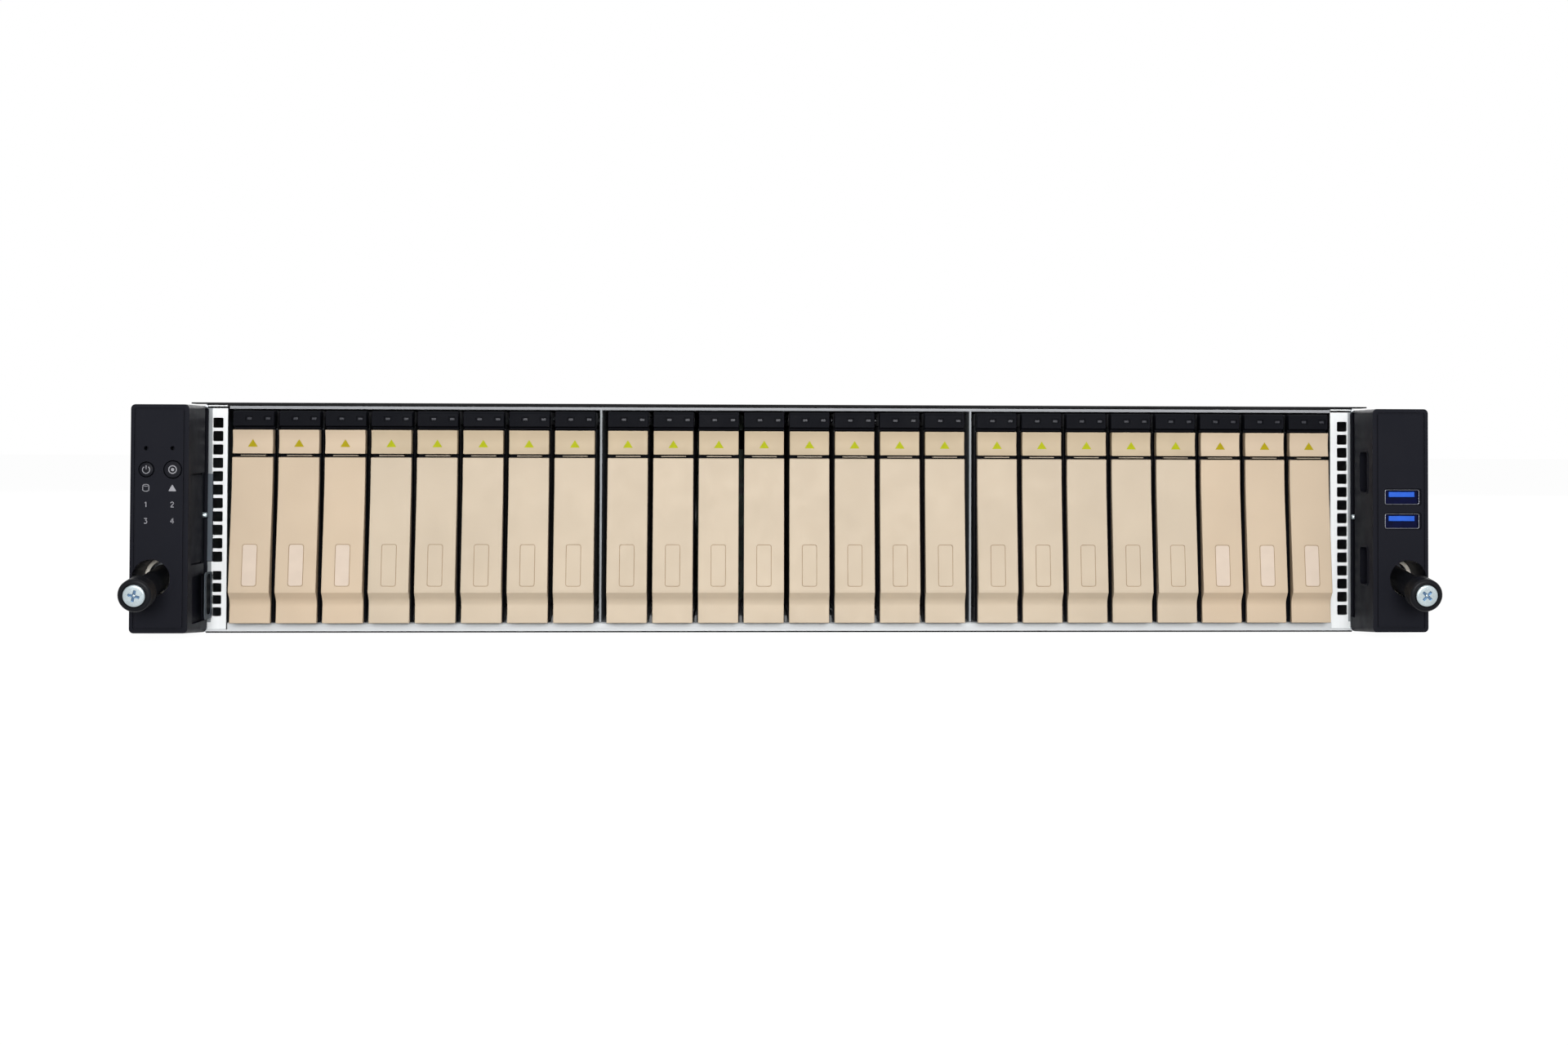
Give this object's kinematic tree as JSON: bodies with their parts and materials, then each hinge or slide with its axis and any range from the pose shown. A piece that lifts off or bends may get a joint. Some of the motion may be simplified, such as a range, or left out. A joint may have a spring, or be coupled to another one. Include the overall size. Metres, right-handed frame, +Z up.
{
  "type": "rackmount server chassis",
  "caption": "Flat rackmount server chassis with a row of upright hot-swap drive carriers, gold ejector levers, black rack ears with thumbscrews, and pull-out power supplies.",
  "frame": {"origin": "mid-width on the underside, in the plane where the rack flanges meet the rack's posts", "axes": "+X to the right seen from the front, +Y to the rear, +Z up"},
  "size_m": [0.479, 0.7888, 0.087],
  "materials": {
    "zinc_sheet": "zinc coated sheet",
    "cover_sheet": "zinc coated sheet",
    "ear_black": "fine moulded grain",
    "screw_black": "knurled",
    "screw_steel": "plated",
    "button_black": "satin",
    "marking_white": "printed",
    "socket_steel": "plated",
    "socket_blue": "moulded",
    "carrier_body": "moulded front on a metal tray",
    "carrier_black": "fine moulded grain",
    "lever_gold": "satin champagne gold",
    "arrow_yellow": "printed",
    "lamp_clear": "frosted window",
    "drive_metal": "cast",
    "supply_case": "plated sheet",
    "supply_black": "moulded",
    "board_green": "solder mask",
    "sink_metal": "extruded",
    "fan_black": "moulded"
  },
  "bodies": {
    "chassis": {"chassis_tub": "zinc_sheet", "left_ear": "ear_black", "right_ear": "ear_black", "mainboard": "board_green", "fan_wall": "fan_black"},
    "cover": {"top_cover": "cover_sheet"},
    "left_thumbscrew": {"left_thumbscrew": "screw_black"},
    "right_thumbscrew": {"right_thumbscrew": "screw_black"},
    "power_button": {"power_button": "button_black"},
    "identify_button": {"identify_button": "button_black"},
    "psu_lower": {"psu_lower": "supply_case"},
    "psu_upper": {"psu_upper": "supply_case"},
    "carrier_01": {"carrier_01": "carrier_body"},
    "lever_01": {"lever_01": "lever_gold"},
    "carrier_02": {"carrier_02": "carrier_body"},
    "lever_02": {"lever_02": "lever_gold"},
    "carrier_03": {"carrier_03": "carrier_body"},
    "lever_03": {"lever_03": "lever_gold"},
    "carrier_04": {"carrier_04": "carrier_body"},
    "lever_04": {"lever_04": "lever_gold"},
    "carrier_05": {"carrier_05": "carrier_body"},
    "lever_05": {"lever_05": "lever_gold"},
    "carrier_06": {"carrier_06": "carrier_body"},
    "lever_06": {"lever_06": "lever_gold"},
    "carrier_07": {"carrier_07": "carrier_body"},
    "lever_07": {"lever_07": "lever_gold"},
    "carrier_08": {"carrier_08": "carrier_body"},
    "lever_08": {"lever_08": "lever_gold"},
    "carrier_09": {"carrier_09": "carrier_body"},
    "lever_09": {"lever_09": "lever_gold"},
    "carrier_10": {"carrier_10": "carrier_body"},
    "lever_10": {"lever_10": "lever_gold"},
    "carrier_11": {"carrier_11": "carrier_body"},
    "lever_11": {"lever_11": "lever_gold"},
    "carrier_12": {"carrier_12": "carrier_body"},
    "lever_12": {"lever_12": "lever_gold"},
    "carrier_13": {"carrier_13": "carrier_body"},
    "lever_13": {"lever_13": "lever_gold"},
    "carrier_14": {"carrier_14": "carrier_body"},
    "lever_14": {"lever_14": "lever_gold"},
    "carrier_15": {"carrier_15": "carrier_body"},
    "lever_15": {"lever_15": "lever_gold"},
    "carrier_16": {"carrier_16": "carrier_body"},
    "lever_16": {"lever_16": "lever_gold"},
    "carrier_17": {"carrier_17": "carrier_body"},
    "lever_17": {"lever_17": "lever_gold"},
    "carrier_18": {"carrier_18": "carrier_body"},
    "lever_18": {"lever_18": "lever_gold"},
    "carrier_19": {"carrier_19": "carrier_body"},
    "lever_19": {"lever_19": "lever_gold"},
    "carrier_20": {"carrier_20": "carrier_body"},
    "lever_20": {"lever_20": "lever_gold"},
    "carrier_21": {"carrier_21": "carrier_body"},
    "lever_21": {"lever_21": "lever_gold"},
    "carrier_22": {"carrier_22": "carrier_body"},
    "lever_22": {"lever_22": "lever_gold"},
    "carrier_23": {"carrier_23": "carrier_body"},
    "lever_23": {"lever_23": "lever_gold"},
    "carrier_24": {"carrier_24": "carrier_body"},
    "lever_24": {"lever_24": "lever_gold"}
  },
  "joints": [
    {"name": "cover_lift", "type": "slide", "parent": "chassis", "child": "cover", "axis": [0, 0, 1], "range_m": [0, 0.12]},
    {"name": "left_thumbscrew_spin", "type": "hinge", "parent": "chassis", "child": "left_thumbscrew", "pos_m": [-0.2319, -0.0316, 0.01983], "axis": [0, -0.9934, -0.1149], "continuous": true},
    {"name": "right_thumbscrew_spin", "type": "hinge", "parent": "chassis", "child": "right_thumbscrew", "pos_m": [0.2319, -0.0316, 0.01983], "axis": [0, -0.9934, -0.1149], "continuous": true},
    {"name": "power_press", "type": "slide", "parent": "chassis", "child": "power_button", "axis": [0, 1, 0], "range_m": [0, 0.001], "stiffness_N_per_m": 600, "springref_m": -0.001},
    {"name": "identify_press", "type": "slide", "parent": "chassis", "child": "identify_button", "axis": [0, 1, 0], "range_m": [0, 0.001], "stiffness_N_per_m": 600, "springref_m": -0.001},
    {"name": "psu_lower_slide", "type": "slide", "parent": "chassis", "child": "psu_lower", "axis": [0, 1, 0], "range_m": [0, 0.18]},
    {"name": "psu_upper_slide", "type": "slide", "parent": "chassis", "child": "psu_upper", "axis": [0, 1, 0], "range_m": [0, 0.18]},
    {"name": "carrier_01_slide", "type": "slide", "parent": "chassis", "child": "carrier_01", "axis": [0, -1, 0], "range_m": [0, 0.11]},
    {"name": "lever_01_swing", "type": "hinge", "parent": "carrier_01", "child": "lever_01", "pos_m": [-0.2006, -0.0051, 0.0096], "axis": [1, 0, 0], "range_deg": [0, 45]},
    {"name": "carrier_02_slide", "type": "slide", "parent": "chassis", "child": "carrier_02", "axis": [0, -1, 0], "range_m": [0, 0.11]},
    {"name": "lever_02_swing", "type": "hinge", "parent": "carrier_02", "child": "lever_02", "pos_m": [-0.1834, -0.0051, 0.0096], "axis": [1, 0, 0], "range_deg": [0, 45]},
    {"name": "carrier_03_slide", "type": "slide", "parent": "chassis", "child": "carrier_03", "axis": [0, -1, 0], "range_m": [0, 0.11]},
    {"name": "lever_03_swing", "type": "hinge", "parent": "carrier_03", "child": "lever_03", "pos_m": [-0.1662, -0.0051, 0.0096], "axis": [1, 0, 0], "range_deg": [0, 45]},
    {"name": "carrier_04_slide", "type": "slide", "parent": "chassis", "child": "carrier_04", "axis": [0, -1, 0], "range_m": [0, 0.11]},
    {"name": "lever_04_swing", "type": "hinge", "parent": "carrier_04", "child": "lever_04", "pos_m": [-0.149, -0.0051, 0.0096], "axis": [1, 0, 0], "range_deg": [0, 45]},
    {"name": "carrier_05_slide", "type": "slide", "parent": "chassis", "child": "carrier_05", "axis": [0, -1, 0], "range_m": [0, 0.11]},
    {"name": "lever_05_swing", "type": "hinge", "parent": "carrier_05", "child": "lever_05", "pos_m": [-0.1318, -0.0051, 0.0096], "axis": [1, 0, 0], "range_deg": [0, 45]},
    {"name": "carrier_06_slide", "type": "slide", "parent": "chassis", "child": "carrier_06", "axis": [0, -1, 0], "range_m": [0, 0.11]},
    {"name": "lever_06_swing", "type": "hinge", "parent": "carrier_06", "child": "lever_06", "pos_m": [-0.1146, -0.0051, 0.0096], "axis": [1, 0, 0], "range_deg": [0, 45]},
    {"name": "carrier_07_slide", "type": "slide", "parent": "chassis", "child": "carrier_07", "axis": [0, -1, 0], "range_m": [0, 0.11]},
    {"name": "lever_07_swing", "type": "hinge", "parent": "carrier_07", "child": "lever_07", "pos_m": [-0.0974, -0.0051, 0.0096], "axis": [1, 0, 0], "range_deg": [0, 45]},
    {"name": "carrier_08_slide", "type": "slide", "parent": "chassis", "child": "carrier_08", "axis": [0, -1, 0], "range_m": [0, 0.11]},
    {"name": "lever_08_swing", "type": "hinge", "parent": "carrier_08", "child": "lever_08", "pos_m": [-0.0802, -0.0051, 0.0096], "axis": [1, 0, 0], "range_deg": [0, 45]},
    {"name": "carrier_09_slide", "type": "slide", "parent": "chassis", "child": "carrier_09", "axis": [0, -1, 0], "range_m": [0, 0.11]},
    {"name": "lever_09_swing", "type": "hinge", "parent": "carrier_09", "child": "lever_09", "pos_m": [-0.0602, -0.0051, 0.0096], "axis": [1, 0, 0], "range_deg": [0, 45]},
    {"name": "carrier_10_slide", "type": "slide", "parent": "chassis", "child": "carrier_10", "axis": [0, -1, 0], "range_m": [0, 0.11]},
    {"name": "lever_10_swing", "type": "hinge", "parent": "carrier_10", "child": "lever_10", "pos_m": [-0.043, -0.0051, 0.0096], "axis": [1, 0, 0], "range_deg": [0, 45]},
    {"name": "carrier_11_slide", "type": "slide", "parent": "chassis", "child": "carrier_11", "axis": [0, -1, 0], "range_m": [0, 0.11]},
    {"name": "lever_11_swing", "type": "hinge", "parent": "carrier_11", "child": "lever_11", "pos_m": [-0.0258, -0.0051, 0.0096], "axis": [1, 0, 0], "range_deg": [0, 45]},
    {"name": "carrier_12_slide", "type": "slide", "parent": "chassis", "child": "carrier_12", "axis": [0, -1, 0], "range_m": [0, 0.11]},
    {"name": "lever_12_swing", "type": "hinge", "parent": "carrier_12", "child": "lever_12", "pos_m": [-0.0086, -0.0051, 0.0096], "axis": [1, 0, 0], "range_deg": [0, 45]},
    {"name": "carrier_13_slide", "type": "slide", "parent": "chassis", "child": "carrier_13", "axis": [0, -1, 0], "range_m": [0, 0.11]},
    {"name": "lever_13_swing", "type": "hinge", "parent": "carrier_13", "child": "lever_13", "pos_m": [0.0086, -0.0051, 0.0096], "axis": [1, 0, 0], "range_deg": [0, 45]},
    {"name": "carrier_14_slide", "type": "slide", "parent": "chassis", "child": "carrier_14", "axis": [0, -1, 0], "range_m": [0, 0.11]},
    {"name": "lever_14_swing", "type": "hinge", "parent": "carrier_14", "child": "lever_14", "pos_m": [0.0258, -0.0051, 0.0096], "axis": [1, 0, 0], "range_deg": [0, 45]},
    {"name": "carrier_15_slide", "type": "slide", "parent": "chassis", "child": "carrier_15", "axis": [0, -1, 0], "range_m": [0, 0.11]},
    {"name": "lever_15_swing", "type": "hinge", "parent": "carrier_15", "child": "lever_15", "pos_m": [0.043, -0.0051, 0.0096], "axis": [1, 0, 0], "range_deg": [0, 45]},
    {"name": "carrier_16_slide", "type": "slide", "parent": "chassis", "child": "carrier_16", "axis": [0, -1, 0], "range_m": [0, 0.11]},
    {"name": "lever_16_swing", "type": "hinge", "parent": "carrier_16", "child": "lever_16", "pos_m": [0.0602, -0.0051, 0.0096], "axis": [1, 0, 0], "range_deg": [0, 45]},
    {"name": "carrier_17_slide", "type": "slide", "parent": "chassis", "child": "carrier_17", "axis": [0, -1, 0], "range_m": [0, 0.11]},
    {"name": "lever_17_swing", "type": "hinge", "parent": "carrier_17", "child": "lever_17", "pos_m": [0.0802, -0.0051, 0.0096], "axis": [1, 0, 0], "range_deg": [0, 45]},
    {"name": "carrier_18_slide", "type": "slide", "parent": "chassis", "child": "carrier_18", "axis": [0, -1, 0], "range_m": [0, 0.11]},
    {"name": "lever_18_swing", "type": "hinge", "parent": "carrier_18", "child": "lever_18", "pos_m": [0.0974, -0.0051, 0.0096], "axis": [1, 0, 0], "range_deg": [0, 45]},
    {"name": "carrier_19_slide", "type": "slide", "parent": "chassis", "child": "carrier_19", "axis": [0, -1, 0], "range_m": [0, 0.11]},
    {"name": "lever_19_swing", "type": "hinge", "parent": "carrier_19", "child": "lever_19", "pos_m": [0.1146, -0.0051, 0.0096], "axis": [1, 0, 0], "range_deg": [0, 45]},
    {"name": "carrier_20_slide", "type": "slide", "parent": "chassis", "child": "carrier_20", "axis": [0, -1, 0], "range_m": [0, 0.11]},
    {"name": "lever_20_swing", "type": "hinge", "parent": "carrier_20", "child": "lever_20", "pos_m": [0.1318, -0.0051, 0.0096], "axis": [1, 0, 0], "range_deg": [0, 45]},
    {"name": "carrier_21_slide", "type": "slide", "parent": "chassis", "child": "carrier_21", "axis": [0, -1, 0], "range_m": [0, 0.11]},
    {"name": "lever_21_swing", "type": "hinge", "parent": "carrier_21", "child": "lever_21", "pos_m": [0.149, -0.0051, 0.0096], "axis": [1, 0, 0], "range_deg": [0, 45]},
    {"name": "carrier_22_slide", "type": "slide", "parent": "chassis", "child": "carrier_22", "axis": [0, -1, 0], "range_m": [0, 0.11]},
    {"name": "lever_22_swing", "type": "hinge", "parent": "carrier_22", "child": "lever_22", "pos_m": [0.1662, -0.0051, 0.0096], "axis": [1, 0, 0], "range_deg": [0, 45]},
    {"name": "carrier_23_slide", "type": "slide", "parent": "chassis", "child": "carrier_23", "axis": [0, -1, 0], "range_m": [0, 0.11]},
    {"name": "lever_23_swing", "type": "hinge", "parent": "carrier_23", "child": "lever_23", "pos_m": [0.1834, -0.0051, 0.0096], "axis": [1, 0, 0], "range_deg": [0, 45]},
    {"name": "carrier_24_slide", "type": "slide", "parent": "chassis", "child": "carrier_24", "axis": [0, -1, 0], "range_m": [0, 0.11]},
    {"name": "lever_24_swing", "type": "hinge", "parent": "carrier_24", "child": "lever_24", "pos_m": [0.2006, -0.0051, 0.0096], "axis": [1, 0, 0], "range_deg": [0, 45]}
  ]
}
